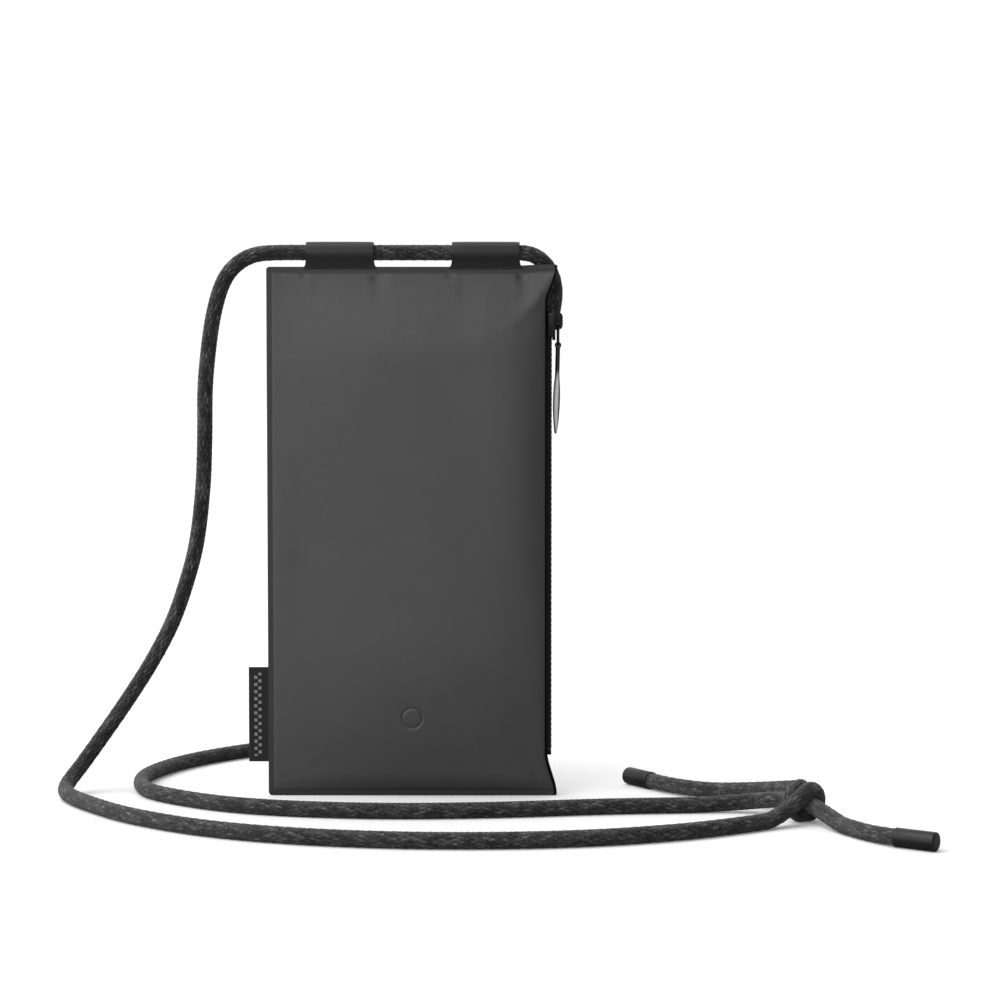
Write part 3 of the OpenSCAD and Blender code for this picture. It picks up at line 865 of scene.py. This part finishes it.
def make_pull():
    """A leaf-shaped blade with flat faces and rounded edges, a thin neck and a round eye."""
    steps, sides = 70, 28
    length = PULL_L - 0.9
    rows, rims = [], []
    for k in range(steps + 1):
        s = length * k / steps
        t = np.clip((0.9 + s - BLADE_TOP) / (PULL_L - BLADE_TOP), 0, 1)
        leaf = PULL_W / 2 * max(math.sin(math.pi * t ** 0.9), 0) ** 0.6
        neck = 0.72 * (1 - smooth_step((t - 0.02) / 0.2))
        tip = 0.42 * smooth_step((t - 0.6) / 0.4)
        half = max(leaf, neck, tip)
        thick = 0.42 + 0.3 * (1 - smooth_step(t / 0.15))
        if k == steps:
            half, thick = half * 0.5, thick * 0.4
        for a in np.linspace(0, 2 * math.pi, sides, endpoint=False):
            c, q = math.cos(a), math.sin(a)
            px = half * math.copysign(abs(c) ** 0.55, c)
            py = thick * math.copysign(abs(q) ** 0.55, q)
            rows.append((px, py, -(0.9 + s)))
            # the rim keeps the dark metal, 1.6 mm wide on one side and 0.3 mm on the other, to
            # match where the blade mirrors the dark part of the room; the face between takes a
            # painted reflection
            rim_w = 1.6 if px > 0 else 0.3
            rims.append(max(smooth_step((abs(px) - half + rim_w) / 0.35), 1 - smooth_step(t / 0.1)))
    faces = grid_quads(steps + 1, sides, wrap=True)
    faces += [list(range(sides)), [steps * sides + k for k in range(sides)][::-1]]
    blade = new_object("blade", rows, faces)
    store(blade, "rim_outside_painted_reflection", rims)
    blade.data.transform(Matrix.Rotation(PULL_TURN, 4, "Z"))
    blade.data.transform(Matrix.Rotation(PULL_LEAN, 4, "Y"))
    eye = [(PIN_R + 0.05, -0.85), (PIN_R + 0.25, -1.0), (1.0, -1.0), (1.2, -0.8), (1.2, 0.8),
           (1.0, 1.0), (PIN_R + 0.25, 1.0), (PIN_R + 0.05, 0.85), (PIN_R + 0.05, -0.85)]
    ring = turned("eye", eye, (0, 0, 0), (0, 1, 0), sides=32)
    weld(ring)
    store(ring, "rim_outside_painted_reflection", [1.0] * len(ring.data.vertices))
    piece = joined("zip_pull_leaf", [blade, ring])
    piece.data.transform(Matrix.Translation((EYE_X * MM, 0, EYE_Z * MM)))
    fix_normals(piece)
    return assign(piece, "zip_pull", "pull")


tapes, coils, sewing = [], [], []
for side_name, is_front in (("front", True), ("back", False)):
    tapes.append(make_tape(side_name, is_front))
    coils.append(make_coil(side_name, is_front))
    sewing.append(make_sewing(side_name, is_front))
slider = rounded_copy("zip_slider_body", "zip_slider", "slider", 0.18)
stops = [rounded_copy("zip_top_stop_pair", "zip_top_stops", "pouch", 0.2),
         rounded_copy("zip_bottom_stop_block", "zip_bottom_stop", "pouch", 0.2)]
link = make_link()
pull = make_pull()


# -------- materials
def new_material(name, **sockets):
    made = bpy.data.materials.new(name)
    made.use_nodes = True
    shader = made.node_tree.nodes["Principled BSDF"]
    for key, value in sockets.items():
        shader.inputs[key.replace("_", " ")].default_value = value
    return made, made.node_tree, shader


def add(tree, kind, inputs=(), **settings):
    """A node with its settings, and its inputs given as values or as other nodes' outputs."""
    made = tree.nodes.new(kind)
    for key, value in settings.items():
        setattr(made, key, value)
    for key, value in dict(inputs).items():
        if isinstance(value, bpy.types.NodeSocket):
            tree.links.new(value, made.inputs[key])
        else:
            made.inputs[key].default_value = value
    return made


def place(tree):
    """Coordinates fixed to the piece, in metres."""
    return add(tree, "ShaderNodeTexCoord").outputs["Object"]


def noise(tree, vector, scale, detail=3.0, roughness=0.5):
    return add(tree, "ShaderNodeTexNoise", {"Vector": vector, "Scale": scale, "Detail": detail,
                                            "Roughness": roughness}).outputs["Fac"]


def ramp(tree, factor, stops):
    """A ramp through (position, level of grey) stops."""
    made = add(tree, "ShaderNodeValToRGB", {"Fac": factor})
    elements = made.color_ramp.elements
    while len(elements) < len(stops):
        elements.new(0.5)
    for element, (position, level) in zip(elements, stops):
        element.position = position
        element.color = (*grey(level), 1)
    return made.outputs["Color"]


def math_node(tree, operation, a, b=0.0, clamp=False):
    return add(tree, "ShaderNodeMath", {0: a, 1: b}, operation=operation,
               use_clamp=clamp).outputs[0]


def times(tree, a, b):
    return math_node(tree, "MULTIPLY", a, b)


def plus(tree, a, b, clamp=False):
    return math_node(tree, "ADD", a, b, clamp)


def stored(tree, name):
    """A number kept by store()."""
    return add(tree, "ShaderNodeAttribute", attribute_name=name).outputs["Fac"]


def feed(shader, **outputs):
    """Links outputs to the shader's inputs, which are named with _ for a space."""
    for key, value in outputs.items():
        shader.id_data.links.new(value, shader.inputs[key.replace("_", " ")])


def grey(value):
    return (value, value, value)


def bumped(tree, shader, heights):
    """Chains bump nodes: (height, distance in metres, strength) from coarse to fine."""
    normal = None
    for height, distance, strength in heights:
        inputs = {"Height": height, "Distance": distance, "Strength": strength}
        if normal is not None:
            inputs["Normal"] = normal
        normal = add(tree, "ShaderNodeBump", inputs).outputs["Normal"]
    tree.links.new(normal, shader.inputs["Normal"])


def mix(tree, factor, a, b, blend="MIX"):
    made = add(tree, "ShaderNodeMix", data_type="RGBA", blend_type=blend)
    for socket, value in ((made.inputs[0], factor), (made.inputs[6], a), (made.inputs[7], b)):
        if isinstance(value, bpy.types.NodeSocket):
            tree.links.new(value, socket)
        else:
            socket.default_value = value if not isinstance(value, tuple) else (*value[:3], 1)
    return made.outputs[2]


def leather_material(name, low, high, rough):
    """Smooth matte leather: fine pebbled grain, faint mottling, pores and a darker cut edge, partly
    the edge's own colour and partly painted shade where it meets the zip tape.
    """
    made, tree, shader = new_material(name)
    where = place(tree)
    cells = add(tree, "ShaderNodeTexVoronoi", {"Vector": where, "Scale": 2100.0},
                feature="SMOOTH_F1").outputs["Distance"]
    fine = noise(tree, where, 5200.0, 4.0, 0.6)
    cloud = noise(tree, where, 38.0, 4.0, 0.55)
    tone = ramp(tree, cloud, [(0.3, low), (0.7, high)])
    pores = ramp(tree, cells, [(0.0, 0.78), (0.5, 1.0)])
    edge_dye_and_shade = stored(tree, "edge_dye_and_shade")
    # darker at the cut edge beside the zip: partly the edge's own colour, partly painted shade
    # where the leather meets the zip tape
    dye_and_painted_shade = ramp(tree, edge_dye_and_shade, [(0.0, 1.0), (1.0, 0.07)])
    colour = mix(tree, 1.0, mix(tree, 0.5, tone, pores, "MULTIPLY"), dye_and_painted_shade, "MULTIPLY")
    shine = ramp(tree, edge_dye_and_shade, [(0.0, 0.5), (1.0, 0.06)])
    gloss = ramp(tree, noise(tree, where, 240.0, 3.0),
                 [(0.3, rough - 0.04), (0.7, rough + 0.04)])
    feed(shader, Base_Color=colour, Specular_IOR_Level=shine, Roughness=gloss)
    bumped(tree, shader, [(cells, 0.00012, 0.35), (fine, 0.00005, 0.3)])
    return made


def cord_material():
    """Heathered polyester braid: dark yarns of fine filaments, with lighter flecks along them, and
    painted shade in the valleys between strands.
    """
    made, tree, shader = new_material("cord_heather", Roughness=0.8, Sheen_Weight=0.2,
                                      Sheen_Roughness=0.5, Specular_IOR_Level=0.25)
    yarn = stored(tree, "yarn")
    over = stored(tree, "over")
    height = stored(tree, "height")
    braid = add(tree, "ShaderNodeUVMap", uv_map="braid").outputs["UV"]
    split = add(tree, "ShaderNodeSeparateXYZ", {"Vector": braid}).outputs
    # across and along the strand that lies on top
    def pick(first, second):
        return add(tree, "ShaderNodeMix", {0: over, 2: second, 3: first}).outputs[0]
    across, along = pick(split["X"], split["Y"]), pick(split["Y"], split["X"])
    strand_place = add(tree, "ShaderNodeCombineXYZ", {
        "X": times(tree, across, 6.0), "Y": times(tree, along, 0.8),
        "Z": times(tree, over, 40.0)}).outputs["Vector"]
    filaments = noise(tree, strand_place, 1.0, 2.0, 0.6)
    fuzz = noise(tree, place(tree), 2800.0, 3.0, 0.6)
    shade = plus(tree, times(tree, yarn, 0.14),
                      plus(tree, times(tree, filaments, 0.8),
                                times(tree, fuzz, 0.32)))
    colour = ramp(tree, shade, [(0.46, 0.007), (0.59, 0.02), (0.69, 0.075),
                                (0.8, 0.26)])
    # painted shade: the colour darkens down in the valleys between strands
    valley_painted_shade = ramp(tree, height, [(0.3, 0.3), (0.9, 1.0)])
    feed(shader, Base_Color=mix(tree, 1.0, colour, valley_painted_shade, "MULTIPLY"))
    bumped(tree, shader, [(filaments, 0.00025, 0.7), (fuzz, 0.00012, 0.6)])
    return made


def woven_material(name, tone, warp, sheen=0.2):
    """A plain woven cloth: crossing threads with a little variation between them."""
    made, tree, shader = new_material(name, Roughness=0.8, Sheen_Weight=sheen,
                                      Specular_IOR_Level=0.3)
    where = place(tree)
    across = add(tree, "ShaderNodeTexWave", {"Vector": where, "Scale": warp, "Distortion": 0.6,
                                             "Detail": 2.0}, bands_direction="X").outputs["Fac"]
    upright = add(tree, "ShaderNodeTexWave", {"Vector": where, "Scale": warp, "Distortion": 0.6,
                                              "Detail": 2.0}, bands_direction="Z").outputs["Fac"]
    weave = times(tree, across, upright)
    fibres = noise(tree, where, 2600.0, 4.0, 0.7)
    shade = plus(tree, times(tree, weave, 0.6),
                      times(tree, fibres, 0.5))
    colour = ramp(tree, shade, [(0.2, tone * 0.6), (0.8, tone * 1.5)])
    feed(shader, Base_Color=colour)
    bumped(tree, shader, [(weave, 0.00015, 0.6), (fibres, 0.00005, 0.4)])
    return made


def foam_material():
    made, tree, shader = new_material("foam_open_cell", Roughness=0.95, Specular_IOR_Level=0.2)
    where = place(tree)
    cells = add(tree, "ShaderNodeTexVoronoi",
                {"Vector": where, "Scale": 1500.0}).outputs["Distance"]
    feed(shader, Base_Color=ramp(tree, cells, [(0.0, 0.16), (0.6, 0.36)]))
    bumped(tree, shader, [(cells, 0.0003, 0.6)])
    return made


def metal_material(name, low, high, rough_low, rough_high, face=None):
    """Dark plated metal with a fine brushed grain. With face set, only the stored rims keep the
    dark metal, and the rest takes a light painted reflection of the bright room.
    """
    made, tree, shader = new_material(name, Metallic=0.9)
    where = place(tree)
    stretched = add(tree, "ShaderNodeMapping", {"Vector": where, "Scale": (1.0, 1.0, 0.06)}
                    ).outputs["Vector"]
    brushed = noise(tree, stretched, 5200.0, 3.0, 0.6)
    cloud = noise(tree, where, 160.0, 3.0, 0.5)
    tone = plus(tree, times(tree, brushed, 0.4),
                     times(tree, cloud, 0.6))
    colour = ramp(tree, tone, [(0.3, low), (0.7, high)])
    if face is not None:
        rim_outside_painted_reflection = stored(tree, "rim_outside_painted_reflection")
        # painted reflection: a light colour on the blade's face, standing in for the bright room it
        # mirrors
        painted_reflection = ramp(tree, tone, [(0.3, face * 0.9), (0.7, face)])
        colour = mix(tree, rim_outside_painted_reflection, painted_reflection, colour)
    rough = ramp(tree, tone, [(0.3, rough_low), (0.7, rough_high)])
    feed(shader, Base_Color=colour, Roughness=rough)
    bumped(tree, shader, [(brushed, 0.00001, 0.12)])
    return made


def nylon_material():
    """Black nylon coil with faint moulding marks."""
    made, tree, shader = new_material("nylon_black", Specular_IOR_Level=0.4)
    where = place(tree)
    marks = noise(tree, where, 1800.0, 3.0, 0.6)
    feed(shader, Base_Color=ramp(tree, marks, [(0.3, 0.006), (0.7, 0.014)]),
         Roughness=ramp(tree, marks, [(0.3, 0.38), (0.7, 0.55)]))
    bumped(tree, shader, [(marks, 0.00003, 0.4)])
    return made


def tag_material():
    """Black woven ribbon with two columns of small light blocks, in place of any lettering."""
    low, high = box_mm("side_tag")
    made, tree, shader = new_material("ribbon_woven", Roughness=0.7, Sheen_Weight=0.15,
                                      Specular_IOR_Level=0.3)
    where = place(tree)
    split = add(tree, "ShaderNodeSeparateXYZ", {"Vector": where}).outputs
    threads = math_node(tree, "SINE", times(tree, split["Z"], 2 * math.pi / 0.00032))
    ribs = math_node(tree, "SINE", times(tree, split["X"], 2 * math.pi / 0.0004))
    weave = times(tree, threads, ribs)
    fibres = noise(tree, where, 3800.0, 3.0, 0.6)
    ground = ramp(tree, plus(tree, times(tree, weave, 0.2), fibres),
                  [(0.3, 0.010), (0.8, 0.030)])
    # two columns of small blocks, staggered by half a repeat
    pitch, block = 0.0026, 0.00055
    level = math_node(tree, "SUBTRACT", split["Z"], float((low[2] + 2.2) * MM))
    mask = None
    for column, shift in ((2.6, 0.0), (4.1, pitch / 2)):
        phase = math_node(tree, "PINGPONG", plus(tree, level, shift), pitch / 2)
        in_row = math_node(tree, "LESS_THAN", phase, block)
        aside = math_node(tree, "ABSOLUTE", math_node(tree, "SUBTRACT", split["X"],
                                                      float((low[0] + column) * MM)))
        spot = times(tree, in_row, math_node(tree, "LESS_THAN", aside, block))
        mask = spot if mask is None else plus(tree, mask, spot, clamp=True)
    above = math_node(tree, "GREATER_THAN", split["Z"], float((low[2] + 2.0) * MM))
    below = math_node(tree, "LESS_THAN", split["Z"], float((high[2] - 2.0) * MM))
    mask = times(tree, mask, times(tree, above, below))
    light = ramp(tree, fibres, [(0.3, 0.22), (0.7, 0.42)])
    feed(shader, Base_Color=mix(tree, mask, ground, light))
    raised = plus(tree, times(tree, weave, 0.4), mask)
    bumped(tree, shader, [(raised, 0.00012, 0.6), (fibres, 0.00005, 0.5)])
    return made


def paint(pieces_of, made):
    for piece in pieces_of:
        piece.data.materials.clear()
        piece.data.materials.append(made)


for piece in cords:
    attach(piece, "pouch")
for piece in tips:
    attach(piece, "pouch")
gunmetal = metal_material("gunmetal_satin", 0.026, 0.045, 0.34, 0.46)
black_plate = metal_material("black_plate", 0.012, 0.03, 0.26, 0.42)
pull_plate_painted_reflection = metal_material("pull_plate_painted_reflection", 0.02, 0.05, 0.18, 0.30, face=0.85)
paint(panels, leather_material("leather_matte", 0.061, 0.069, 0.42))
# the loops take the panel's leather painted several times darker, as painted shade for the shaded
# straps
paint(loops, leather_material("leather_strap_painted_shade", 0.009, 0.013, 0.46))
paint(cords, cord_material())
paint(tips, gunmetal)
paint([slider, link] + stops, black_plate)
paint([pull], pull_plate_painted_reflection)
paint(inside["foam"], foam_material())
paint(inside["lining"], woven_material("microfibre", 0.045, 900.0, sheen=0.4))
paint(tapes + sewing, woven_material("zip_tape_weave", 0.010, 1400.0, sheen=0.1))
paint(coils, nylon_material())
paint([tag], tag_material())


# -------- floor and light
FRONT_LEVEL = 1.7                           # brightness of the big soft box in front, to the left
RIGHT_LEVEL = 0.03
TOP_LEVEL = 0.35
BACK_LEVEL = 1.05


def make_floor():
    """A pale floor: white in the picture, and mid grey in what it throws back on the part."""
    mesh = bpy.data.meshes.new("floor")
    mesh.from_pydata([(-6, -4, 0), (6, -4, 0), (6, 8, 0), (-6, 8, 0)], [], [(0, 1, 2, 3)])
    floor = linked("floor", mesh)
    made, tree, shader = new_material("floor_pale", Roughness=0.9, Specular_IOR_Level=0.0,
                                      Emission_Color=(1, 1, 1, 1))
    seen = add(tree, "ShaderNodeLightPath").outputs["Is Camera Ray"]
    feed(shader, Base_Color=mix(tree, seen, grey(0.33), grey(0.95)))
    feed(shader, Emission_Strength=times(tree, seen, 0.1))
    mesh.materials.append(made)


def stepped(tree, value, low, high, at_low, at_high):
    """A smooth step from at_low to at_high as value goes from low to high."""
    return add(tree, "ShaderNodeMapRange", {"Value": value, "From Min": low, "From Max": high,
                                            "To Min": at_low, "To Max": at_high},
               interpolation_type="SMOOTHSTEP").outputs["Result"]


def make_light():
    """A white backdrop, a soft box in front on the left, a dark right side and a top lamp."""
    world = bpy.data.worlds.new("studio")
    world.use_nodes = True
    tree = world.node_tree
    toward = add(tree, "ShaderNodeSeparateXYZ", {
        "Vector": add(tree, "ShaderNodeTexCoord").outputs["Generated"]}).outputs
    across = stepped(tree, toward["X"], -0.05, 0.42, FRONT_LEVEL, RIGHT_LEVEL)
    front = times(tree, across, stepped(tree, toward["Z"], 0.35, 0.85, 1.0, TOP_LEVEL))
    behind = stepped(tree, toward["Y"], 0.05, 0.5, 0.0, 1.0)
    level = add(tree, "ShaderNodeMix", {0: behind, 2: front, 3: BACK_LEVEL}).outputs[0]
    # the camera itself sees a white room from every side
    seen = add(tree, "ShaderNodeLightPath").outputs["Is Camera Ray"]
    level = add(tree, "ShaderNodeMix", {0: seen, 2: level, 3: BACK_LEVEL}).outputs[0]
    back = tree.nodes["Background"]
    back.inputs["Color"].default_value = (1, 1, 1, 1)
    tree.links.new(level, back.inputs["Strength"])
    bpy.context.scene.world = world
    sun = bpy.data.lights.new("overhead", "SUN")
    sun.energy = 1.5
    sun.angle = math.radians(50)
    linked("overhead", sun).rotation_euler = (math.radians(6), math.radians(-28), 0)


make_floor()
make_light()
bpy.context.scene.view_settings.view_transform = "Standard"
